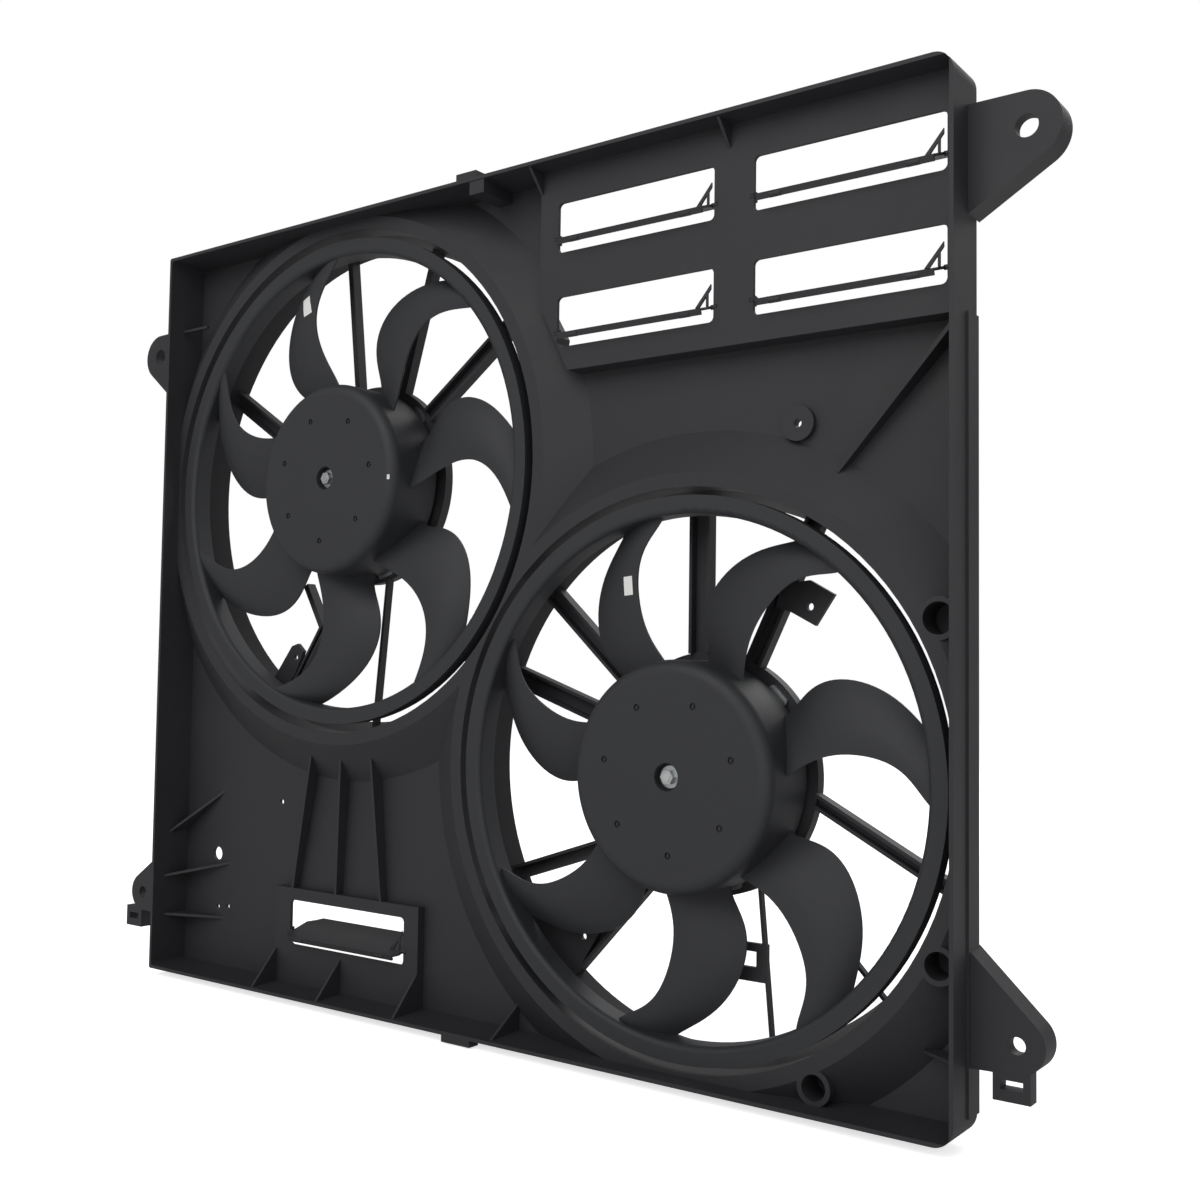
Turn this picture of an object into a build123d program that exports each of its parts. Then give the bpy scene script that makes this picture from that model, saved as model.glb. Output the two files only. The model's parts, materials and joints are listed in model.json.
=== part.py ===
from build123d import *
from math import atan2, cos, degrees, hypot, radians, sin
import os

os.makedirs("parts", exist_ok=True)

# Twin radiator cooling fan module, millimetres.
# While it is built, x runs right from the left end of the rim, y runs back from the rim's
# front edge towards the engine, and z runs up from the rim's underside.

# Moulded tray: rim, walls and back panel
wall = 2.5
wall_draft = 2.0
plate = 2.5
panel_y = 31.0
corner_right = 12.0
corner_left = 2.0
band_proud = 1.2
band_y = 18.5

# Blind bores beside the right fan: distance from the right edge, height over the fan's axis, radius
edge_pads = ((13.7, 93.8, 9.0), (13.8, -90.8, 7.6))
low_pad_x, low_pad_z, low_pad_r = 92.4, 13.0, 7.4
pad_rim = 3.0
pad_gap = 0.5
pad_floor = 1.2

# Fans and the round openings that they turn in; the rim's size follows from these
left_ring_r = 181.0
right_ring_r = 171.0
left_tip_gap = 6.6
right_tip_gap = 5.0
fan_turn = 33.6
fan_web = 1.9
left_margin, top_margin = 4.9, 9.1
right_margin, low_margin = 3.1, 5.0
lip_y = 13.0
lip_flat = 9.0
lip_slope = 27.5

# Raised window panel, upper right
upper_y = 16.0
upper_w = 294.5
upper_h = 139.0
upper_cut_x = 24.0
upper_cut_z = 46.0

# Raised window panel, lower left
lower_y = 24.5
lower_x0, lower_x1 = 123.5, 273.5
lower_z1 = 75.5

# Ribs and gussets on the tray's front side
rib = 2.0
gusset_lead = 0.6
fan_rib_tops = ((162.8, 205.8), (195.0, 207.3), (226.6, 205.3))
fan_rib_feet = (141.2, 188.5, 235.3)
fan_rib_top_y = 20.2

# Windows: left edge, lower edge and size of each
window_w = 121.0
window_h = 33.5
window_r = 3.5
window_right = 9.8
window_top = 26.3
window_pitch_x = 148.8
window_pitch_z = 63.2
low_window = (140.0, 33.2)
low_window_w = 119.6

# Flaps that swing in the windows
flap_t = 1.6
flap_side_gap = 1.2
flap_edge_gap = 0.8
flap_below = 8.6
flap_open = 72.0
flap_corner = 4.0
flap_lip = 2.4
pin_r = 1.5
pin_len = 2.4
pin_gap = 0.05
pin_end_gap = 0.3
snap_half = 1.25
snap_wall = 1.6

# Fan wheels
hub_r = 70.5
hub_y = 0.4
hub_back = 45.0
hub_round = 8.0
hub_wall = 2.5
hub_boss_r = 12.0
hub_boss_back = 15.0
hub_rib_t = 1.8
hub_rib_h = 6.0
nut_recess_r = 8.5
nut_seat_y = 6.0
dimple_ring_r = 46.5
dimple_r = 2.2
dimple_depth = 1.2
dimple_peg_r = 0.8
blade_count = 7
blade_t = 2.6
blade_tip_t = 2.0
left_dimple = 8.0
right_dimple = 15.2
ring_flange = 9.0
ring_t = 2.5
ring_depth = 16.0
ring_skirt = 10.0
ring_round = 3.5

# Barrels and spiders behind the fans
barrel_back = 57.0
barrel_t = 2.5
barrel_taper = 7.0
spider_y = 46.5
arm_t = 2.2
ring_seat_y = 49.5
spider_back = 57.0
mount_ring_in = 62.0
mount_ring_out = 76.0
seat_gap = 0.05
tab_t = 3.0

# Motors
can_r = 59.0
can_t = 1.6
can_front = 17.5
can_back = 60.0
can_nose_r = 11.0
can_nose_back = 26.0
cap_t = 2.5
lug_r = 68.0
lug_hole_r = 2.55
lug_half = 8.0
lug_t = 2.5
screw_r = 2.5
screw_head_r = 4.6
screw_head_h = 3.2
shaft_r = 4.0
shaft_back = 66.0
thread_r = 2.5
shoulder_y = 9.0
shaft_tip_y = 0.6
bearing_r = 8.0
bearing_gap = 0.04
fit_gap = 0.02
washer_t = 1.0
washer_r = 6.8
nut_t = 4.0
nut_flats = 8.0
magnet_t = 5.0
magnet_y0, magnet_y1 = 28.0, 52.0
air_gap = 0.8
core_y0, core_y1 = 29.0, 51.0
coil_over = 5.0
commutator_r = 13.0
brush_plate_y = 56.6
brush_plate_t = 1.8

# Mounting ears
ear_y = 20.6
ear_t = 3.0
ear_deep = 14.0
ear_rim = 2.5

left_open_r = left_ring_r + left_tip_gap
right_open_r = right_ring_r + right_tip_gap
tray_back = panel_y + plate
span = left_open_r + right_open_r + fan_web
left_x = left_margin + left_open_r
right_x = left_x + span * cos(radians(fan_turn))
right_z = low_margin + right_open_r
left_z = right_z + span * sin(radians(fan_turn))
rim_width = right_x + right_open_r + right_margin
rim_height = left_z + left_open_r + top_margin
upper_x = rim_width - upper_w
upper_z = rim_height - upper_h
window_x1 = rim_width - window_right - window_w
window_z1 = rim_height - window_top - window_h
window_columns = (window_x1 - window_pitch_x, window_x1)
window_rows = (window_z1 - window_pitch_z, window_z1)
pad_holes = [(rim_width - gap, right_z + rise, r) for gap, rise, r in edge_pads]
pad_holes.append((right_x + low_pad_x, low_pad_z, low_pad_r))


def box(x0, x1, y0, y1, z0, z1):
    return Pos((x0 + x1) / 2, (y0 + y1) / 2, (z0 + z1) / 2) * Box(x1 - x0, y1 - y0, z1 - z0)


def plan(points):
    return make_face(Polyline(*points, close=True))


def prism(points, y0, y1):
    return extrude(Plane.XZ.offset(-y0) * plan(points), -(y1 - y0))


def disc(x, z, r, y0, y1):
    return Pos(x, (y0 + y1) / 2, z) * Rot(90, 0, 0) * Cylinder(r, y1 - y0)


def tube(x, z, r_in, r_out, y0, y1):
    return disc(x, z, r_out, y0, y1) - disc(x, z, r_in, y0 - 1, y1 + 1)


def turned(x, z, points):
    return Pos(x, 0, z) * revolve(plan(points), Axis.Y)


def web(a, b, c, t):
    # thin triangular rib through three points, t thick
    face = make_face(Polyline(a, b, c, close=True))
    return extrude(face, t / 2, both=True)


def bar(x0, z0, x1, z1, width, y0, y1):
    length = hypot(x1 - x0, z1 - z0)
    turn = degrees(atan2(z1 - z0, x1 - x0))
    middle = Pos((x0 + x1) / 2, (y0 + y1) / 2, (z0 + z1) / 2)
    return middle * Rot(0, -turn, 0) * Box(length, y1 - y0, width)


def window(x0, z0, w, y0, y1):
    face = Pos(x0 + w / 2, z0 + window_h / 2) * RectangleRounded(w, window_h, window_r)
    return extrude(Plane.XZ.offset(-y0) * face, -(y1 - y0))


def cone(x, z, open_r, back):
    # raised dish round a fan opening, moved back by the plate for its hollow side
    y0 = lip_y + back
    run = lip_slope * (tray_back + 1 - y0) / (panel_y - lip_y)
    return turned(x, z, [(0, y0), (open_r + lip_flat, y0),
                         (open_r + lip_flat + run, tray_back + 1), (0, tray_back + 1)])


# Tray: drafted pocket in a block with two corner radii
outline = [(0, 0), (rim_width, 0), (rim_width, rim_height), (0, rim_height)]
block = prism(outline, 0, tray_back)
right_edges = block.edges().filter_by(Axis.Y).group_by(Axis.X)[-1]
block = fillet(right_edges, corner_right)
left_edges = block.edges().filter_by(Axis.Y).group_by(Axis.X)[0]
block = fillet(left_edges, corner_left)
pocket_w = rim_width - 2 * wall
pocket_h = rim_height - 2 * wall
pocket_face = Pos(rim_width / 2, rim_height / 2) * RectangleRounded(pocket_w, pocket_h, corner_left)
pocket_slope = degrees(atan2(wall_draft, tray_back))
pocket = extrude(Plane.XZ * pocket_face, -(tray_back + 2), taper=pocket_slope)
core_w = pocket_w - 2 * wall_draft
core_h = pocket_h - 2 * wall_draft
core_face = Pos(rim_width / 2, rim_height / 2) * RectangleRounded(core_w, core_h, corner_left)
inside = extrude(Plane.XZ * core_face, -(tray_back + 2))

# Front surfaces of the panel, the two dishes and the two window panels
upper_plan = [(upper_x, rim_height), (upper_x, upper_z + upper_cut_z),
              (upper_x + upper_cut_x, upper_z), (rim_width, upper_z), (rim_width, rim_height)]
upper_in = [(upper_x + plate, rim_height), (upper_x + plate, upper_z + upper_cut_z),
            (upper_x + upper_cut_x + plate, upper_z + plate), (rim_width, upper_z + plate),
            (rim_width, rim_height)]
front = box(0, rim_width, panel_y, tray_back, 0, rim_height)
front += cone(left_x, left_z, left_open_r, 0)
front += cone(right_x, right_z, right_open_r, 0)
front += prism(upper_plan, upper_y, tray_back + 1)
front += box(lower_x0, lower_x1, lower_y, tray_back + 1, 0, lower_z1)
hollow = cone(left_x, left_z, left_open_r, plate)
hollow += cone(right_x, right_z, right_open_r, plate)
hollow += prism(upper_in, upper_y + plate, tray_back + 2)
hollow += box(lower_x0 + plate, lower_x1 - plate, lower_y + plate, tray_back + 2, 0, lower_z1 - plate)
skin = (front & block) - (hollow & inside)
pad_trim = disc(right_x, right_z, right_open_r + barrel_t + pad_gap, lip_y + plate, tray_back + 5)
for x, z, r in pad_holes:
    skin += (disc(x, z, r + pad_rim, lip_y, tray_back) & block) - pad_trim
moulding = (block - pocket) + skin

# Ribs and gussets, all clipped to the front of the skin
rib_depth = panel_y + plate / 2
ribs = Part()
for (top_x, drop), foot_x in zip(fan_rib_tops, fan_rib_feet):
    top_z = left_z - drop
    run = hypot(top_x - foot_x, top_z - lower_z1)
    lean = degrees(atan2(top_x - foot_x, top_z - lower_z1))
    side = [(0, lower_y), (run, fan_rib_top_y), (run + 14, rib_depth), (0, rib_depth)]
    face = make_face(Polyline(*[(0, y, s) for s, y in side], close=True))
    ribs += Pos(foot_x, 0, lower_z1 - 0.5) * Rot(0, lean, 0) * extrude(face, rib / 2, both=True)
for x, height, depth in ((lower_x0 + rib / 2, 28.0, lower_y), (195.0, 28.0, lower_y),
                         (lower_x1 - rib / 2, 28.0, lower_y), (361.0, 20.0, panel_y)):
    low, deep = wall / 2, depth + plate / 2
    ribs += web((x, gusset_lead, low), (x, deep, low), (x, deep, wall + height), rib)
for x in (upper_x + rib / 2, 528.0):
    high, deep = rim_height - wall / 2, upper_y + plate / 2
    ribs += web((x, gusset_lead, high), (x, deep, high), (x, deep, rim_height - wall - 17.0), rib)
for y_wall, z_wall, z_panel, reach in ((13.3, 106.8, 145.5, 54.0), (9.3, 72.4, 87.0, 63.5),
                                       (10.4, 41.7, 42.0, 57.0)):
    ribs += web((wall / 2, y_wall, z_wall), (wall / 2, rib_depth, z_wall), (reach, rib_depth, z_panel), rib)
edge = rim_width - wall / 2
ribs += web((edge, 7.0, 42.0), (edge, rib_depth, 42.0), (rim_width - 35.0, rib_depth, 40.0), rib)
fin_x, fin_z = rim_width - 81.0, rim_height - 220.5
fin_face = make_face(Polyline((edge, upper_y, upper_z + 1), (fin_x, 25.4, fin_z), (fin_x, rib_depth, fin_z),
                              (edge, rib_depth, upper_z + 1), close=True))
ribs += extrude(fin_face, 1.25, both=True)
moulding += ribs - (hollow & inside)

# Ledge across the left wall above the fan
ledge_z = rim_height - 60.0
moulding += box(wall - 0.5, 34.0, 12.5, 15.0, ledge_z, ledge_z + 2) & block

# Hollow boss on the panel
boss_x, boss_z = rim_width - 106.5, rim_height - 188.5
moulding += disc(boss_x, boss_z, 10.5, panel_y - 4, panel_y + 0.5)

# Locating clips on the rim, top and bottom
clip_x0, clip_x1 = left_x + 126.0, left_x + 144.0
moulding += box(clip_x0, clip_x1, 0, 9, rim_height - wall, rim_height + 4.5)
moulding += box(clip_x0 + 12, clip_x1 + 7, 0.6, panel_y + 0.5, rim_height - 12, rim_height - wall + 0.5)
low_clip_x0, low_clip_x1 = right_x - 177.0, right_x - 152.0
moulding += box(low_clip_x0, low_clip_x1, 0, 9, -4.5, wall)

# Outer band along the lower right side
moulding += box(rim_width - 1, rim_width + band_proud, band_y, tray_back, corner_right, upper_z)

# Round openings, windows, blind bores and panel holes
moulding -= disc(left_x, left_z, left_open_r, -1, tray_back + 5)
moulding -= disc(right_x, right_z, right_open_r, -1, tray_back + 5)
for x0 in window_columns:
    for z0 in window_rows:
        moulding -= window(x0, z0, window_w, upper_y - 5, tray_back + 1)
moulding -= window(low_window[0], low_window[1], low_window_w, lower_y - 5, tray_back + 1)
for x, z, r in pad_holes:
    moulding -= disc(x, z, r, -1, tray_back - pad_floor)
moulding -= disc(boss_x, boss_z, 2.6, 0, tray_back + 1)
for x, z, r in ((43.6, 92.3, 5.4), (45.4, 50.0, 2.0), (57.8, 51.3, 2.0), (119.4, 138.8, 2.2)):
    moulding -= disc(x, z, r, 0, tray_back + 1)

# Snap bearings at the window sides: bored blocks behind the skin, slit at the front for the pins
pins = []
for x0 in window_columns:
    for z0 in window_rows:
        pins.append((x0, z0, window_w, upper_y))
pins.append((low_window[0], low_window[1], low_window_w, lower_y))
lower_plan = [(lower_x0, 0), (lower_x1, 0), (lower_x1, lower_z1), (lower_x0, lower_z1)]
pin_bore = pin_r + pin_gap
pin_reach = pin_len + pin_end_gap
for x0, z0, w, y in pins:
    axis_y, axis_z = y + plate / 2, z0 + flap_below + flap_edge_gap
    for x_in, x_out in ((x0, x0 - pin_reach), (x0 + w, x0 + w + pin_reach)):
        lo, hi = min(x_in, x_out), max(x_in, x_out)
        back = axis_y + pin_bore + snap_wall
        half = pin_bore + snap_wall
        block_lo, block_hi = (lo, hi + snap_wall) if x_out > x_in else (lo - snap_wall, hi)
        bearing = box(block_lo, block_hi, y, back, axis_z - half, axis_z + half)
        moulding += bearing & (prism(upper_plan, upper_y, tray_back) + prism(lower_plan, lower_y, tray_back))
        bore = Pos((lo + hi) / 2, axis_y, axis_z) * Rot(0, 90, 0) * Cylinder(pin_bore, hi - lo)
        moulding -= bore
        moulding -= box(lo, hi, y - 1, axis_y, axis_z - snap_half, axis_z + snap_half)


def ear(hole_x, hole_z, r, root_x, root_z0, root_z1, hole_r):
    # triangular ear: flat front plate with an edge flange that runs back
    inner = root_x + (-1.0 if hole_x > root_x else 1.0)
    head = Pos(hole_x, hole_z) * Circle(r)
    foot = plan([(inner, root_z0), (root_x, root_z0), (root_x, root_z1), (inner, root_z1)])
    outer = make_hull(head.edges() + foot.edges())
    shell = offset(outer, -ear_rim)
    body = extrude(Plane.XZ.offset(-ear_y) * outer, -(ear_t + ear_deep))
    body -= extrude(Plane.XZ.offset(-(ear_y + ear_t)) * shell, -(ear_deep + 1))
    body += disc(hole_x, hole_z, hole_r + 3, ear_y, ear_y + ear_t + 5)
    return body - disc(hole_x, hole_z, hole_r, ear_y - 1, ear_y + 30)


top_right = (rim_width + 32.3, rim_height - 43.5)
low_right = (rim_width + 25.9, 53.8)
top_left = (-38.3, rim_height - 73.3)
low_left = (-40.0, 53.8)
outside = box(-200, 0, -5, 90, -50, rim_height + 50)
outside += box(rim_width, rim_width + 200, -5, 90, -50, rim_height + 50)
outside -= box(rim_width - 1, rim_width + band_proud, band_y, tray_back, corner_right, upper_z)
ears = {}
ears["ear_top_right"] = ear(*top_right, 19.0, rim_width, rim_height - 85.3, rim_height - 24.5, 6.4)
ears["ear_low_right"] = ear(*low_right, 15.0, rim_width, 38.0, 99.7, 4.6)
ears["ear_top_left"] = ear(*top_left, 18.5, 0.0, rim_height - 128.0, rim_height - 54.0, 6.4)
ears["ear_low_left"] = ear(*low_left, 15.0, 0.0, 38.0, 99.7, 4.6)
for name, x0 in (("ear_low_right", rim_width + 13), ("ear_low_left", -61.0)):
    foot = box(x0, x0 + 20, ear_y, ear_y + 9, 24.5, 41.0)
    foot -= box(x0 + 4, x0 + 16, ear_y - 1, ear_y + 10, 30.5, 35.5)
    ears[name] += foot
for name in ears:
    ears[name] &= outside

# The one moulding is cut along its walls into the pieces that collision follows
rim = moulding - inside
inner = moulding & inside
upper_zone = prism(upper_plan, -1, tray_back + 1)
lower_zone = prism(lower_plan, -1, tray_back + 1)
upper_panel = (inner & upper_zone).solids().sort_by(SortBy.VOLUME)[-1]
lower_panel = inner & lower_zone
shroud = inner - upper_zone - lower_zone

# Dividing plane between the two barrels
reach_x, reach_z = right_x - left_x, right_z - left_z
web_mid = left_open_r + fan_web / 2
tilt = degrees(atan2(reach_z, reach_x))


def half_space(x, z, turn, distance):
    # block that starts at the dividing plane and lies beyond it
    return Pos(x, 0, z) * Rot(0, -turn, 0) * Pos(distance + 200, 0, 0) * Box(400, 400, 400)


def barrel(x, z, open_r, turn, distance):
    # round wall behind the opening, drawn in towards its back edge
    y0, narrow = lip_y + plate, open_r - barrel_taper
    body = turned(x, z, [(open_r, y0), (open_r + barrel_t, y0), (open_r + barrel_t, tray_back),
                         (narrow + barrel_t, barrel_back), (narrow, barrel_back), (open_r, tray_back)])
    body -= half_space(x, z, turn, distance)
    return body - (block - inside)


barrel_left = barrel(left_x, left_z, left_open_r, tilt, web_mid)
barrel_right = barrel(right_x, right_z, right_open_r, tilt + 180, span - web_mid)

# Spiders: a mounting ring for the motor and arms out to the barrel
lug_turns = (45, 165, 285)
arm_back = barrel_back - barrel_t


def channel(x0, z0, x1, z1, width, back):
    # arm with a groove along its front, or a plain rib where it is thin
    body = bar(x0, z0, x1, z1, width, spider_y, back)
    if width > 3 * arm_t:
        body -= bar(x0, z0, x1, z1, width - 2 * arm_t, spider_y - 1, back - arm_t)
    return body


def arm(turn_in, turn_out, width, open_r, back=arm_back):
    r0, r1 = mount_ring_out - arm_t, open_r + 5
    a0, a1 = radians(turn_in), radians(turn_out)
    return channel(r0 * cos(a0), r0 * sin(a0), r1 * cos(a1), r1 * sin(a1), width, back)


def spider(x, z, open_r, arms):
    ring_points = [(mount_ring_in, ring_seat_y), (mount_ring_out, ring_seat_y), (mount_ring_out, spider_back),
                   (mount_ring_out - arm_t, spider_back), (mount_ring_out - arm_t, ring_seat_y + 3),
                   (mount_ring_in + arm_t, ring_seat_y + 3), (mount_ring_in + arm_t, spider_back),
                   (mount_ring_in, spider_back)]
    seat = turned(0, 0, ring_points)
    for turn in lug_turns:
        c, s = cos(radians(turn)), sin(radians(turn))
        seat += disc(lug_r * c, lug_r * s, 6.5, ring_seat_y, spider_back)
    seat -= disc(0, 0, mount_ring_in, 0, spider_back + 5)
    for turn in lug_turns:
        c, s = cos(radians(turn)), sin(radians(turn))
        seat -= disc(lug_r * c, lug_r * s, screw_r + 0.25, 0, spider_back + 5)
    body = Part()
    for arm in arms:
        body += arm
    slope = barrel_taper / (barrel_back - tray_back)
    wide = open_r - seat_gap - slope * (spider_y - tray_back)
    narrow = open_r - seat_gap - barrel_taper
    body &= turned(0, 0, [(0, spider_y), (wide, spider_y), (narrow, barrel_back), (0, barrel_back)])
    body -= disc(0, 0, mount_ring_out, 0, spider_back + 5)
    return Pos(x, 0, z) * seat, Pos(x, 0, z) * body


def tab(points, hole_x, hole_z):
    # flat plate between an arm and the barrel, with a hole for a cable clip
    return prism(points, spider_y, spider_y + tab_t) - disc(hole_x, hole_z, 2.3, 0, 60)


right_arms = [arm(95.4, 92.2, 15, right_open_r), arm(137, 137.4, 12, right_open_r),
              arm(157.1, 159.4, 13.4, right_open_r), arm(-142.2, -153.9, 10, right_open_r),
              arm(-120.3, -127.8, 10, right_open_r), arm(-59.1, -74.4, 2, right_open_r, spider_y + 4),
              arm(-8.6, -20, 8.5, right_open_r), arm(65, 64.5, 12, right_open_r),
              arm(-45.8, -45.5, 2, right_open_r, spider_y + 4.5)]
right_arms.append(tab([(48, 103), (58.5, 100), (75, 91.5), (87.5, 110), (71, 119), (52, 117)], 71.5, 103))
right_arms.append(tab([(-70, -90), (-150, -90), (-122, -138), (-100, -138)], -94, -112.5))
frame_tab = box(12, 44, spider_y, spider_y + tab_t, -123.5, -100.5)
right_arms.append(frame_tab - box(24, 36.5, spider_y - 1, spider_y + tab_t + 1, -115, -105.5))
motor_seat_right, spider_right = spider(right_x, right_z, right_open_r, right_arms)

left_arms = [arm(102, 98.6, 5, left_open_r), arm(64, 69.8, 6, left_open_r),
             arm(39.5, 37.5, 12, left_open_r), arm(159.3, 152, 12.6, left_open_r),
             arm(-73.4, -87.4, 2.5, left_open_r, spider_y + 6), arm(22.7, 6.5, 13, left_open_r),
             arm(-51.4, -51.5, 9, left_open_r)]
left_arms.append(channel(-69.6, -74.8, -50.6, -107.8, 5, arm_back))
left_arms.append(channel(-48, -107, -92, -171, 7, arm_back))
left_arms.append(tab([(-70, -127), (-77, -121), (-84, -123), (-104, -148), (-104, -170), (-80, -146)], -79, -132))
motor_seat_left, spider_left = spider(left_x, left_z, left_open_r, left_arms)

# Fan wheel: hub cup, seven swept blades and the ring round their tips
# Each row: share of the way from hub to ring, front edge's and rear edge's turn, front and rear y
left_blade = ((-0.07, -12.0, 29.0, 17.0, 43.0), (0.13, -3.0, 25.5, 19.8, 35.5), (0.32, 2.0, 28.3, 20.2, 32.5),
              (0.51, 3.1, 26.3, 19.1, 31.0), (0.70, 0.7, 19.8, 18.0, 29.0), (0.92, -6.9, 8.4, 16.7, 26.6),
              (1.13, -14.3, -9.0, 15.6, 24.6))
right_blade = ((-0.07, -1.0, 35.0, 19.0, 39.5), (0.13, 6.5, 32.5, 21.0, 36.5), (0.33, 8.8, 33.6, 21.0, 35.0),
               (0.53, 7.8, 29.9, 20.5, 33.5), (0.74, 4.7, 22.4, 20.0, 32.0), (0.94, -2.0, 12.2, 19.5, 30.0),
               (1.14, -4.0, 6.0, 19.2, 28.6))
left_spacing = (0, 0, 0, 0, 0, 0, 0)
right_spacing = (0.8, 1.8, -2.9, -2.1, 3.9, 0.1, -5.4)
blade_camber = 0.06


def blade_section(r, turn_0, turn_1, y_front, y_rear, thick):
    # arc-shaped section across the blade: its front edge lies on the clockwise side
    lean = radians(turn_1 - turn_0) / 2
    half, away = r * sin(lean), r * cos(lean)
    mid_y = (y_front + y_rear) / 2
    bow = blade_camber * 2 * half
    upper = [(-half, y_front), (-half * 0.4, mid_y - (mid_y - y_front) * 0.4 - bow),
             (half * 0.4, mid_y + (y_rear - mid_y) * 0.4 - bow), (half, y_rear)]
    lower = [(half, y_rear + thick * 0.6), (half * 0.4, upper[2][1] + thick),
             (-half * 0.4, upper[1][1] + thick), (-half, y_front + thick * 0.6)]
    turn = radians(turn_0 + turn_1) / 2
    c, s = cos(turn), sin(turn)

    def place(point):
        t, y = point
        return (away * c - t * s, y, away * s + t * c)

    top = Spline(*[place(p) for p in upper])
    low = Spline(*[place(p) for p in lower])
    ends = [Line(place(upper[-1]), place(lower[0])), Line(place(lower[-1]), place(upper[0]))]
    return make_face(Wire([top.edge(), ends[0].edge(), low.edge(), ends[1].edge()]))


def fan(x, z, ring_r, rows, spacing, dimple_turn):
    ring_in = ring_r - ring_flange - ring_t
    hub_points = [(0, hub_y), (hub_r - hub_round, hub_y), (hub_r, hub_y + hub_round), (hub_r, hub_back),
                  (hub_r - hub_wall, hub_back), (hub_r - hub_wall, hub_y + hub_round),
                  (hub_r - hub_round, hub_y + hub_wall), (hub_boss_r, hub_y + hub_wall),
                  (hub_boss_r, hub_boss_back), (0, hub_boss_back)]
    corner = (hub_r - hub_round, hub_y + hub_round)
    outer_arc = CenterArc(corner, hub_round, -90, 90)
    inner_arc = CenterArc(corner, hub_round - hub_wall, 0, -90)
    lines = [Line(hub_points[0], outer_arc @ 0), outer_arc, Line(outer_arc @ 1, hub_points[3]),
             Line(hub_points[3], hub_points[4]), Line(hub_points[4], inner_arc @ 0), inner_arc,
             Line(inner_arc @ 1, hub_points[7]), Line(hub_points[7], hub_points[8]),
             Line(hub_points[8], hub_points[9]), Line(hub_points[9], hub_points[0])]
    hub = revolve(make_face(Wire([line.edge() for line in lines])), Axis.Y)
    for k in range(blade_count):
        turn = 15 + k * 360 / blade_count
        c, s = cos(radians(turn)), sin(radians(turn))
        reach = hub_r - hub_wall + 0.3
        hub += bar((hub_boss_r - 0.5) * c, (hub_boss_r - 0.5) * s, reach * c, reach * s, hub_rib_t,
                   hub_y + hub_wall - 0.2, hub_y + hub_wall + hub_rib_h) & disc(0, 0, hub_r - 2, 0, 30)

    ring_corner = (ring_in + ring_round, lip_y + ring_round)
    ring_arc = CenterArc(ring_corner, ring_round, 180, 90)
    ring_lines = [ring_arc, Line(ring_arc @ 1, (ring_r, lip_y)), Line((ring_r, lip_y), (ring_r, lip_y + ring_skirt)),
                  Line((ring_r, lip_y + ring_skirt), (ring_r - ring_t, lip_y + ring_skirt)),
                  Line((ring_r - ring_t, lip_y + ring_skirt), (ring_r - ring_t, lip_y + ring_t)),
                  Line((ring_r - ring_t, lip_y + ring_t), (ring_in + ring_t, lip_y + ring_t)),
                  Line((ring_in + ring_t, lip_y + ring_t), (ring_in + ring_t, lip_y + ring_depth)),
                  Line((ring_in + ring_t, lip_y + ring_depth), (ring_in, lip_y + ring_depth)),
                  Line((ring_in, lip_y + ring_depth), ring_arc @ 0)]
    wheel = revolve(make_face(Wire([line.edge() for line in ring_lines])), Axis.Y)

    sections = []
    for share, turn_0, turn_1, y0, y1 in rows:
        r = hub_r + share * (ring_in - hub_r)
        sections.append(blade_section(r, turn_0, turn_1, y0, y1, blade_t + (blade_tip_t - blade_t) * share))
    blade = loft(sections)
    blade -= disc(0, 0, hub_r, 0, 80)
    blade &= disc(0, 0, ring_in, 0, 80)
    blades = Part()
    for k in range(blade_count):
        blades += Rot(0, -(spacing[k] + k * 360 / blade_count), 0) * blade
    for k in range(blade_count):
        turn = radians(dimple_turn + k * 360 / blade_count)
        cx, cz = dimple_ring_r * cos(turn), dimple_ring_r * sin(turn)
        hub -= tube(cx, cz, dimple_peg_r, dimple_r, hub_y - 1, hub_y + dimple_depth)
    hub -= disc(0, 0, nut_recess_r, hub_y - 1, nut_seat_y)
    hub -= disc(0, 0, thread_r + fit_gap, 0, 20)
    hub -= disc(0, 0, shaft_r + fit_gap, shoulder_y, 20)
    return [Pos(x, 0, z) * piece for piece in (hub, blades, wheel)]


left_wheel = fan(left_x, left_z, left_ring_r, left_blade, left_spacing, left_dimple)
right_wheel = fan(right_x, right_z, right_ring_r, right_blade, right_spacing, right_dimple)


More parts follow.
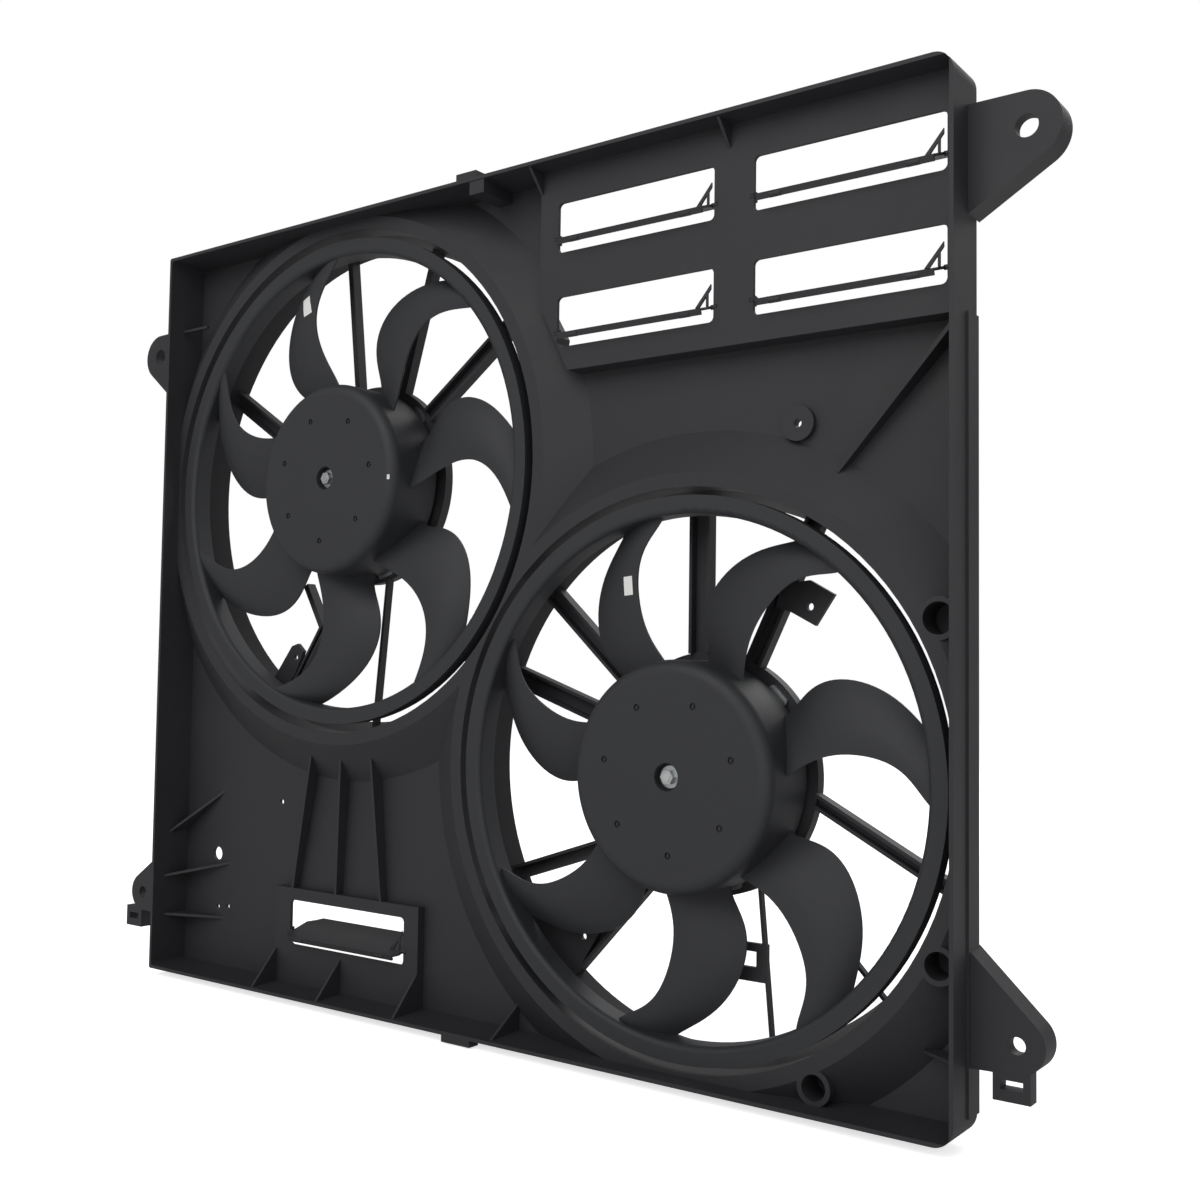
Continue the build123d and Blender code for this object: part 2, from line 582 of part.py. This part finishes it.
def motor(x, z, parts, side):
    # steel can with three lugs; it is open at the back, where the cap closes it
    inner_r = can_r - can_t
    can = turned(0, 0, [(bearing_r + fit_gap, can_front), (can_r - 4, can_front), (can_r, can_front + 4),
                        (can_r, can_back), (inner_r, can_back), (inner_r, can_front + 4.4),
                        (can_r - 4.6, can_front + can_t), (can_nose_r, can_front + can_t),
                        (can_nose_r, can_nose_back), (bearing_r + fit_gap, can_nose_back)])
    for turn in lug_turns:
        c, s = cos(radians(turn)), sin(radians(turn))
        lug = bar((can_r - 0.8) * c, (can_r - 0.8) * s, lug_r * c, lug_r * s, 2 * lug_half,
                  ring_seat_y - lug_t, ring_seat_y)
        lug += disc(lug_r * c, lug_r * s, lug_half, ring_seat_y - lug_t, ring_seat_y)
        lug &= disc(0, 0, mount_ring_out - 3, 0, 80)
        can += lug - disc(lug_r * c, lug_r * s, lug_hole_r, 0, 80) - disc(0, 0, inner_r + 0.5, 0, 80)
    parts["motor_can_" + side] = can
    cap = turned(0, 0, [(bearing_r + fit_gap, can_back), (can_r, can_back), (can_r, can_back + cap_t),
                        (can_nose_r + 2, can_back + cap_t), (can_nose_r, shaft_back + 1.5),
                        (0, shaft_back + 1.5), (0, shaft_back + 0.5), (bearing_r + fit_gap, shaft_back + 0.5)])
    plug_y = can_back + cap_t
    parts["motor_cap_" + side] = cap
    socket = box(26, 48, plug_y, plug_y + 13, -9, 9) - box(28, 46, plug_y + 2.5, plug_y + 14, -7, 7)
    parts["plug_socket_" + side] = socket
    sleeve_in = shaft_r + bearing_gap
    parts["front_bearing_" + side] = tube(0, 0, sleeve_in, bearing_r, can_front, can_nose_back)
    parts["rear_bearing_" + side] = tube(0, 0, sleeve_in, bearing_r, can_back, shaft_back)
    shaft = disc(0, 0, shaft_r, shoulder_y, shaft_back - 0.3) + disc(0, 0, thread_r, shaft_tip_y, shoulder_y)
    parts["shaft_" + side] = shaft
    parts["washer_" + side] = tube(0, 0, thread_r + fit_gap, washer_r, nut_seat_y - washer_t, nut_seat_y)
    nut_y = nut_seat_y - washer_t
    nut = extrude(Plane.XZ.offset(-(nut_y - nut_t)) * RegularPolygon(nut_flats / 2, 6, major_radius=False), -nut_t)
    parts["shaft_nut_" + side] = nut - disc(0, 0, thread_r + fit_gap, 0, 20)
    magnet_out = inner_r - fit_gap
    core_r = magnet_out - magnet_t - air_gap
    ring = tube(0, 0, magnet_out - magnet_t, magnet_out, magnet_y0, magnet_y1)
    gap = box(-100, 100, 0, 80, -8, 8)
    pole_pair = (ring - gap).solids().sort_by(Axis.Z)
    parts["magnet_low_" + side] = pole_pair[0]
    parts["magnet_high_" + side] = pole_pair[-1]
    core = tube(0, 0, shaft_r + fit_gap, core_r, core_y0, core_y1)
    core += tube(0, 0, shaft_r + fit_gap + 8, core_r - 8, core_y0 - coil_over, core_y0)
    core += tube(0, 0, shaft_r + fit_gap + 12, core_r - 8, core_y1, core_y1 + coil_over)
    for k in range(12):
        turn = radians(15 + k * 30)
        core -= disc((core_r - 3) * cos(turn), (core_r - 3) * sin(turn), 2.4, core_y0 - 1, core_y1 + 1)
    parts["armature_" + side] = core
    parts["commutator_" + side] = tube(0, 0, shaft_r + fit_gap, commutator_r, core_y1 + 0.4, brush_plate_y - 0.6)
    card = tube(0, 0, commutator_r + 3, inner_r - fit_gap, brush_plate_y, brush_plate_y + brush_plate_t)
    card += box(commutator_r + 3.5, commutator_r + 15, brush_plate_y - 0.4, brush_plate_y, -4, 4)
    parts["brush_card_" + side] = card
    for number, turn in enumerate(lug_turns, 1):
        c, s = cos(radians(turn)), sin(radians(turn))
        screw = disc(lug_r * c, lug_r * s, screw_r, ring_seat_y - lug_t, spider_back)
        screw += disc(lug_r * c, lug_r * s, screw_head_r, spider_back, spider_back + screw_head_h)
        parts["motor_screw_" + side + "_" + str(number)] = screw


def flap(w):
    # leaf with a pin at each end and a stiffening lip along its lower edge, drawn shut about the x axis
    length = w - 2 * flap_side_gap
    above = window_h - flap_below - 2 * flap_edge_gap
    k = flap_corner
    points = [(k, -flap_below), (length - k, -flap_below), (length, k - flap_below), (length, above - k),
              (length - k, above), (k + 6, above), (6, above - k), (0, above - 2 * k), (0, k - flap_below)]
    leaf = extrude(Plane.XZ.offset(flap_t / 2) * plan(points), -flap_t)
    leaf += box(k, length - k, -flap_t / 2, flap_t / 2 + flap_lip, -flap_below, -flap_below + 1.4)
    reach = pin_len + flap_side_gap
    for x0 in (-reach, length - 1.0):
        leaf += Pos(x0 + (reach + 1) / 2, 0, 0) * Rot(0, 90, 0) * Cylinder(pin_r, reach + 1)
    return Rot(-flap_open, 0, 0) * leaf


parts = {"rim": rim, "shroud": shroud, "upper_window_panel": upper_panel, "lower_window_panel": lower_panel,
         **ears, "barrel_left": barrel_left, "barrel_right": barrel_right,
         "motor_seat_left": motor_seat_left, "motor_seat_right": motor_seat_right,
         "spider_left": spider_left, "spider_right": spider_right}
for side, wheel in (("left", left_wheel), ("right", right_wheel)):
    for name, piece in zip(("hub", "blades", "ring"), wheel):
        parts[name + "_" + side] = piece
for side, x, z in (("left", left_x, left_z), ("right", right_x, right_z)):
    pieces = {}
    motor(x, z, pieces, side)
    for name, piece in pieces.items():
        parts[name] = Pos(x, 0, z) * piece

flap_names = ["flap_lower_middle", "flap_upper_middle", "flap_lower_right", "flap_upper_right", "flap_low_left"]
for name, (x0, z0, w, y) in zip(flap_names, pins):
    axis_z = z0 + flap_below + flap_edge_gap
    parts[name] = Pos(x0 + flap_side_gap, y + plate / 2, axis_z) * flap(w)

# The part's origin is the lower left ear's bore at the ear's front face
home = Pos(-low_left[0], -ear_y, -low_left[1])
for name, piece in parts.items():
    export_step(home * piece, "parts/" + name + ".step")
    print(name, len(piece.solids()), round(piece.volume / 1000, 2))
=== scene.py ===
import json
import math

import bmesh
import bpy
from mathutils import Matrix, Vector
from mathutils.bvhtree import BVHTree


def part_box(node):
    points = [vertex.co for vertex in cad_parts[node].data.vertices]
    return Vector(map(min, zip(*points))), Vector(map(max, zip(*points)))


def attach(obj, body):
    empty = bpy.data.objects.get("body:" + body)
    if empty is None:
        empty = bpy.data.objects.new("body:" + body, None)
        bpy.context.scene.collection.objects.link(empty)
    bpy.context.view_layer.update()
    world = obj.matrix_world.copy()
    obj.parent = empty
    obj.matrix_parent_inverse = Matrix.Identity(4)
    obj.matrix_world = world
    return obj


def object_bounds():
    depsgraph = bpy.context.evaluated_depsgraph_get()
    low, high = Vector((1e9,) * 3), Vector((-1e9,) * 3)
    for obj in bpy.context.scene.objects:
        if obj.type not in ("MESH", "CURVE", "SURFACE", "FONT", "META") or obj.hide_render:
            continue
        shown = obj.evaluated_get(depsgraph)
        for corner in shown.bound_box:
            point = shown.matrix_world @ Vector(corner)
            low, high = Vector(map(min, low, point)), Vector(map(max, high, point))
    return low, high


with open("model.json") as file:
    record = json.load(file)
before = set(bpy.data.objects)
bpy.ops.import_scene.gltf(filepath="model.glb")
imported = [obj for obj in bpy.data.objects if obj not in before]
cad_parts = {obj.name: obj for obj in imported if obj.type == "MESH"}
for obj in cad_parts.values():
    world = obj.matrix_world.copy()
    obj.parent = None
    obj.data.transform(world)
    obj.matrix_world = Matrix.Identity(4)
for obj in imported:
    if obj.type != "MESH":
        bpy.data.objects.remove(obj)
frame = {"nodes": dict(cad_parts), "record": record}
cad = frame["nodes"]
cad_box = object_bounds()

# The shroud is one injection moulding in glass-filled polypropylene, black all through.
# The tool's spark-eroded grain breaks every highlight up softly, and slow cooling leaves
# the wide panels a little uneven in gloss.
FLOW_MM = 55
GLOSS_SPREAD = 0.04
GRAIN_HEIGHT = 0.0002
NOISE_LOW, NOISE_HIGH = 0.3, 0.7


def linear(code):
    channels = [int(code[k : k + 2], 16) / 255 for k in (0, 2, 4)]
    return [c / 12.92 if c <= 0.04045 else ((c + 0.055) / 1.055) ** 2.4 for c in channels] + [1.0]


def add(tree, kind, settings, links=()):
    node = tree.nodes.new(kind)
    for name, value in settings.items():
        if isinstance(name, int) or name in node.inputs:
            node.inputs[name].default_value = value
        else:
            setattr(node, name, value)
    for name, source in links:
        tree.links.new(source, node.inputs[name])
    return node


def per_metre(millimetres):
    return 1000 / millimetres


def empty_material(name):
    material = bpy.data.materials.new(name)
    material.use_nodes = True
    material.node_tree.nodes.clear()
    return material, material.node_tree


def moulded(name, dark, light, rough, grain_mm, grain_depth):
    # real grain is about 0.1 mm wide, too fine to show, so it is drawn 0.6 to 0.9 mm wide
    material, tree = empty_material(name)
    place = add(tree, "ShaderNodeTexCoord", {}).outputs["Object"]
    flow = add(
        tree,
        "ShaderNodeTexNoise",
        {"Scale": per_metre(FLOW_MM), "Detail": 2.0},
        [("Vector", place)],
    )
    grain = add(
        tree,
        "ShaderNodeTexNoise",
        {"Scale": per_metre(grain_mm), "Detail": 2.0},
        [("Vector", place)],
    )
    tone = add(
        tree,
        "ShaderNodeMix",
        {"data_type": "RGBA", 6: linear(dark), 7: linear(light)},
        [(0, flow.outputs["Fac"])],
    )
    gloss = add(
        tree,
        "ShaderNodeMapRange",
        {
            "From Min": NOISE_LOW,
            "From Max": NOISE_HIGH,
            "To Min": rough - GLOSS_SPREAD,
            "To Max": rough + GLOSS_SPREAD,
        },
        [("Value", flow.outputs["Fac"])],
    )
    bump = add(
        tree,
        "ShaderNodeBump",
        {"Strength": grain_depth, "Distance": GRAIN_HEIGHT},
        [("Height", grain.outputs["Fac"])],
    )
    shader = add(
        tree,
        "ShaderNodeBsdfPrincipled",
        {"IOR": 1.49},
        [
            ("Base Color", tone.outputs[2]),
            ("Roughness", gloss.outputs["Result"]),
            ("Normal", bump.outputs["Normal"]),
        ],
    )
    add(tree, "ShaderNodeOutputMaterial", {}, [("Surface", shader.outputs["BSDF"])])
    return material


def finish_node(names, material):
    for name in names:
        cad[name].data.materials.clear()
        cad[name].data.materials.append(material)


moulded_polypropylene = moulded("moulded_polypropylene", "1e1e21", "232327", 0.62, 0.9, 0.25)
finish_node(["shroud", "rim", "upper_window_panel", "lower_window_panel"], moulded_polypropylene)
for side in ("left", "right"):
    finish_node([f"ear_top_{side}", f"ear_low_{side}"], moulded_polypropylene)
    finish_node([f"barrel_{side}", f"motor_seat_{side}", f"spider_{side}"], moulded_polypropylene)

# Each motor's can and end cap are drawn steel with bright zinc plating, screwed to the
# motor seat, and show from behind only. The zinc looks pale and a little cloudy, the ground
# shaft has a tighter highlight, and the pressed, fired and sintered pieces inside are dull.


def metal(name, colour, rough, spread, cloud_mm):
    material, tree = empty_material(name)
    place = add(tree, "ShaderNodeTexCoord", {}).outputs["Object"]
    cloud = add(
        tree,
        "ShaderNodeTexNoise",
        {"Scale": per_metre(cloud_mm), "Detail": 3.0},
        [("Vector", place)],
    )
    gloss = add(
        tree,
        "ShaderNodeMapRange",
        {"To Min": rough - spread, "To Max": rough + spread},
        [("Value", cloud.outputs["Fac"])],
    )
    shader = add(
        tree,
        "ShaderNodeBsdfPrincipled",
        {"Base Color": linear(colour), "Metallic": 1.0},
        [("Roughness", gloss.outputs["Result"])],
    )
    add(tree, "ShaderNodeOutputMaterial", {}, [("Surface", shader.outputs["BSDF"])])
    return material


zinc_plated_steel = metal("zinc_plated_steel", "b9bcbd", 0.38, 0.08, 6)
ground_steel = metal("ground_steel", "c9c9c7", 0.25, 0.05, 1.5)
sintered_bronze = metal("sintered_bronze", "8a6a42", 0.5, 0.06, 0.8)
turned_copper = metal("turned_copper", "b06a3c", 0.35, 0.05, 1)
lamination_steel = metal("lamination_steel", "77787a", 0.45, 0.08, 2)
fired_ferrite = moulded("fired_ferrite", "2b2b2c", "353536", 0.6, 0.6, 0.2)
pressed_phenolic = moulded("pressed_phenolic", "3a2416", "452c1b", 0.5, 0.7, 0.2)
moulded_polyamide = moulded("moulded_polyamide", "1c1c1d", "222223", 0.45, 0.8, 0.2)
for side in ("left", "right"):
    finish_node([f"motor_can_{side}", f"motor_cap_{side}"], zinc_plated_steel)
    finish_node([f"motor_screw_{side}_{k}" for k in (1, 2, 3)], zinc_plated_steel)
    finish_node([f"front_bearing_{side}", f"rear_bearing_{side}"], sintered_bronze)
    finish_node([f"magnet_low_{side}", f"magnet_high_{side}"], fired_ferrite)
    finish_node([f"brush_card_{side}"], pressed_phenolic)
    finish_node([f"plug_socket_{side}"], moulded_polyamide)
    finish_node([f"armature_{side}"], lamination_steel)
    finish_node([f"commutator_{side}"], turned_copper)
    finish_node([f"shaft_{side}"], ground_steel)
    finish_node([f"washer_{side}", f"shaft_nut_{side}"], zinc_plated_steel)

# The fan wheels are moulded in glass-filled polyamide, as dull as the shroud but a shade
# paler, so the blades and the hub's round edge carry long soft highlights.
fan_polyamide = moulded("fan_polyamide", "1e1f22", "25262a", 0.62, 0.8, 0.2)
for side in ("left", "right"):
    finish_node([f"hub_{side}", f"blades_{side}", f"ring_{side}"], fan_polyamide)

# One small blank paper label is stuck to a blade of each fan. On the left hub's edge sits a
# small white patch, finished as the paper is: painted light, standing in for the bright white
# backdrop seen through a small slot in the hub. Each lies on the moulding's own curve.
GLUE_GAP = 0.00006
THICKNESS = 0.00010
CELLS_ACROSS, CELLS_ALONG = 8, 12
AHEAD_OF_FAN = -0.2

# the labels' paper, also used for the painted white patch of backdrop light on the left hub
paper_and_painted_backdrop = bpy.data.materials.new("paper_and_painted_backdrop")
paper_and_painted_backdrop.use_nodes = True
paper_shader = paper_and_painted_backdrop.node_tree.nodes["Principled BSDF"]
paper_shader.inputs["Base Color"].default_value = linear("d8d8d6")
paper_shader.inputs["Roughness"].default_value = 0.6


def solid(name, form, material, body):
    bmesh.ops.recalc_face_normals(form, faces=form.faces)
    mesh = bpy.data.meshes.new(name)
    form.to_mesh(mesh)
    form.free()
    mesh.materials.append(material)
    piece = bpy.data.objects.new(name, mesh)
    bpy.context.scene.collection.objects.link(piece)
    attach(piece, body)


def stuck_on(name, node, centre, size, turn, body):
    # a grid dropped along +Y onto the node's surface, then given a thickness to the front
    mesh = cad[node].data
    world = cad[node].matrix_world
    points = [world @ v.co for v in mesh.vertices]
    surface = BVHTree.FromPolygons(points, [list(f.vertices) for f in mesh.polygons])
    c, s = math.cos(math.radians(turn)), math.sin(math.radians(turn))
    across, along = CELLS_ACROSS, CELLS_ALONG
    rows = []
    for i in range(along + 1):
        row = []
        for j in range(across + 1):
            u = (j / across - 0.5) * size[0]
            v = (i / along - 0.5) * size[1]
            x, z = centre[0] + u * c - v * s, centre[1] + u * s + v * c
            hit = surface.ray_cast(Vector((x, AHEAD_OF_FAN, z)), Vector((0, 1, 0)))[0]
            row.append(Vector((x, hit.y, z)))
        rows.append(row)
    form = bmesh.new()
    to_front, to_back = Vector((0, GLUE_GAP + THICKNESS, 0)), Vector((0, GLUE_GAP, 0))
    front = [[form.verts.new(q - to_front) for q in row] for row in rows]
    back = [[form.verts.new(q - to_back) for q in row] for row in rows]
    for i in range(along):
        n = i + 1
        for j in range(across):
            form.faces.new((front[i][j], front[i][j + 1], front[n][j + 1], front[n][j]))
            form.faces.new((back[i][j], back[n][j], back[n][j + 1], back[i][j + 1]))
    for i in range(along):
        n = i + 1
        form.faces.new((front[i][0], front[n][0], back[n][0], back[i][0]))
        form.faces.new((front[i][across], back[i][across], back[n][across], front[n][across]))
    for j in range(across):
        n = j + 1
        form.faces.new((front[0][j], back[0][j], back[0][n], front[0][n]))
        form.faces.new((front[along][j], front[along][n], back[along][n], back[along][j]))
    solid(name, form, paper_and_painted_backdrop, body)


# name, node, side, place from the hub's axis, width and height, turn in degrees
for name, node, side, place, size, turn in (
    ("label_left", "blades_left", "left", (-0.0445, 0.139), (0.010, 0.014), 14),
    ("label_right", "blades_right", "right", (-0.0435, 0.117), (0.007, 0.012), 4),
    # painted light: a white patch where the backdrop shows through a small slot in the left hub
    ("painted_backdrop_dot", "hub_left", "left", (0.0655, -0.0038), (0.0018, 0.0034), 0),
):
    low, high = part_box(f"hub_{side}")
    centre = ((low[0] + high[0]) / 2 + place[0], (low[2] + high[2]) / 2 + place[1])
    stuck_on(name, node, centre, size, turn, f"fan_{side}")

# The ram-air flaps are thin mouldings of unfilled polypropylene, which snap in on two pins.
# They come from a finer tool than the shroud, so they shine a very little more.
flap_polypropylene = moulded("flap_polypropylene", "1e1e21", "232327", 0.58, 0.8, 0.2)
finish_node([name for name in cad if name.startswith("flap_")], flap_polypropylene)

# Two knuckles stiffen each flap under its front edge, and at its right end a slanted strut
# and a short post stand up from the sheet. They are part of the flap's moulding.
PIN_REACH = 0.0036
KNUCKLE_RADIUS = 0.0019
KNUCKLE_LENGTH = 0.0075
KNUCKLE_INSET = 0.0125
KNUCKLE_AHEAD = 0.0064
KNUCKLE_DROP = 0.0036
KNUCKLE_SIDES = 24
STRUT_HALF = 0.0006
STRUT_RUN = 0.0125
STRUT_INSET = 0.0012
SHEET_TOP = 0.001
# points of the strut as run from its foot and height, and of the post as distance back from
# the strut's head and height, both over the hinge line
STRUT_FOOT = ((0, SHEET_TOP), (0.0030, SHEET_TOP))
STRUT_HEAD = (0.0115, 0.0145)
POST = ((0.0034, SHEET_TOP), (0.0020, SHEET_TOP), (0.0020, 0.0088), (0.0034, 0.0074))


def closed_between(form, near, far):
    # two like outlines, each closed by a face, and the band of faces that joins them
    ends = [[form.verts.new(point) for point in outline] for outline in (near, far)]
    form.faces.new(ends[0])
    form.faces.new(ends[1])
    for k in range(len(near)):
        n = (k + 1) % len(near)
        form.faces.new((ends[0][k], ends[0][n], ends[1][n], ends[1][k]))


def knuckle_outline(x, y, z):
    turns = [2 * math.pi * k / KNUCKLE_SIDES for k in range(KNUCKLE_SIDES)]
    return [(x, y + KNUCKLE_RADIUS * math.cos(a), z + KNUCKLE_RADIUS * math.sin(a)) for a in turns]


for joint in frame["record"]["behaviour"]["joints"]:
    if not joint["name"].startswith("flap_"):
        continue
    flap = joint["child"]
    middle_x, hinge_y, hinge_z = joint["pos_m"]
    low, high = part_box(flap)
    half = (high[0] - low[0]) / 2 - PIN_REACH

    knuckles = bmesh.new()
    for start in (middle_x - half + KNUCKLE_INSET, middle_x + half - KNUCKLE_INSET - KNUCKLE_LENGTH):
        ends = [
            knuckle_outline(x, hinge_y - KNUCKLE_AHEAD, hinge_z - KNUCKLE_DROP)
            for x in (start, start + KNUCKLE_LENGTH)
        ]
        closed_between(knuckles, *ends)
    solid("knuckles_" + flap, knuckles, flap_polypropylene, flap)

    foot, head = middle_x + half - STRUT_RUN, middle_x + half - STRUT_INSET
    slant = [(foot + run, z) for run, z in STRUT_FOOT] + [(head, z) for z in STRUT_HEAD]
    post = [(head - back, z) for back, z in POST]
    strut = bmesh.new()
    for outline in (slant, post):
        ends = [
            [(x, y, hinge_z + z) for x, z in outline]
            for y in (hinge_y - STRUT_HALF, hinge_y + STRUT_HALF)
        ]
        closed_between(strut, *ends)
    solid("strut_" + flap, strut, flap_polypropylene, flap)

# The part stands in a studio: a painted pale floor that keeps its shadow, and a pale room,
# both white where the camera looks straight at them. Of three soft lamps the large one is
# at the front, a weaker one on the right and one behind.
FLOOR_SIZE = 6.0
FLOOR_MIDDLE_X = 0.4
FLOOR_GAP = 0.001

low, high = cad_box
floor_mesh = bpy.data.meshes.new("floor")
form = bmesh.new()
bmesh.ops.create_grid(form, x_segments=1, y_segments=1, size=FLOOR_SIZE)
form.to_mesh(floor_mesh)
form.free()
floor = bpy.data.objects.new("floor", floor_mesh)
bpy.context.scene.collection.objects.link(floor)
floor.location = (FLOOR_MIDDLE_X, 0, low[2] - FLOOR_GAP)

painted_floor, tree = empty_material("painted_floor")
path = add(tree, "ShaderNodeLightPath", {})
lit = add(tree, "ShaderNodeBsdfPrincipled", {"Base Color": linear("f0f0f0"), "Roughness": 0.95})
glow = add(tree, "ShaderNodeEmission", {"Color": (1, 1, 1, 1), "Strength": 0.68})
both = add(
    tree,
    "ShaderNodeAddShader",
    {},
    [(0, lit.outputs["BSDF"]), (1, glow.outputs["Emission"])],
)
shown = add(
    tree,
    "ShaderNodeMixShader",
    {},
    [(0, path.outputs["Is Camera Ray"]), (1, lit.outputs["BSDF"]), (2, both.outputs["Shader"])],
)
add(tree, "ShaderNodeOutputMaterial", {}, [("Surface", shown.outputs["Shader"])])
floor_mesh.materials.append(painted_floor)

world = bpy.data.worlds.new("room")
bpy.context.scene.world = world
world.use_nodes = True
tree = world.node_tree
tree.nodes.clear()
path = add(tree, "ShaderNodeLightPath", {})
around = add(tree, "ShaderNodeBackground", {"Color": (1, 1, 1, 1), "Strength": 0.42})
seen = add(tree, "ShaderNodeBackground", {"Color": (1, 1, 1, 1), "Strength": 1.0})
room = add(
    tree,
    "ShaderNodeMixShader",
    {},
    [
        (0, path.outputs["Is Camera Ray"]),
        (1, around.outputs["Background"]),
        (2, seen.outputs["Background"]),
    ],
)
add(tree, "ShaderNodeOutputWorld", {}, [("Surface", room.outputs["Shader"])])

middle = Vector((low[k] + high[k]) / 2 for k in range(3))


def softbox(name, place, size, watts):
    lamp = bpy.data.lights.new(name, "AREA")
    lamp.shape = "SQUARE"
    lamp.size = size
    lamp.energy = watts
    holder = bpy.data.objects.new(name, lamp)
    bpy.context.scene.collection.objects.link(holder)
    holder.location = place
    holder.rotation_euler = (middle - Vector(place)).to_track_quat("-Z", "Y").to_euler()


softbox("key_softbox", (0.3, -2.6, 2.2), 2.8, 52)
softbox("fill_softbox", (2.6, -2.0, 0.9), 2.4, 16)
softbox("back_softbox", (0.4, 2.4, 1.8), 1.6, 25)

# The camera stands to the right of the shroud's front, at about a third of its height, and
# a 40.7 mm lens on a 36 mm sensor gives the photograph's perspective.
lens = bpy.data.cameras.new("camera")
lens.lens = 40.68
lens.sensor_width = 36.0
lens.clip_start = 0.01
camera = bpy.data.objects.new("camera", lens)
bpy.context.scene.collection.objects.link(camera)
camera.location = (0.9862, -0.7009, 0.1902)
camera.rotation_euler = [math.radians(turn) for turn in (92.990, -0.787, 36.248)]
bpy.context.scene.camera = camera
bpy.context.scene.view_settings.view_transform = "Standard"
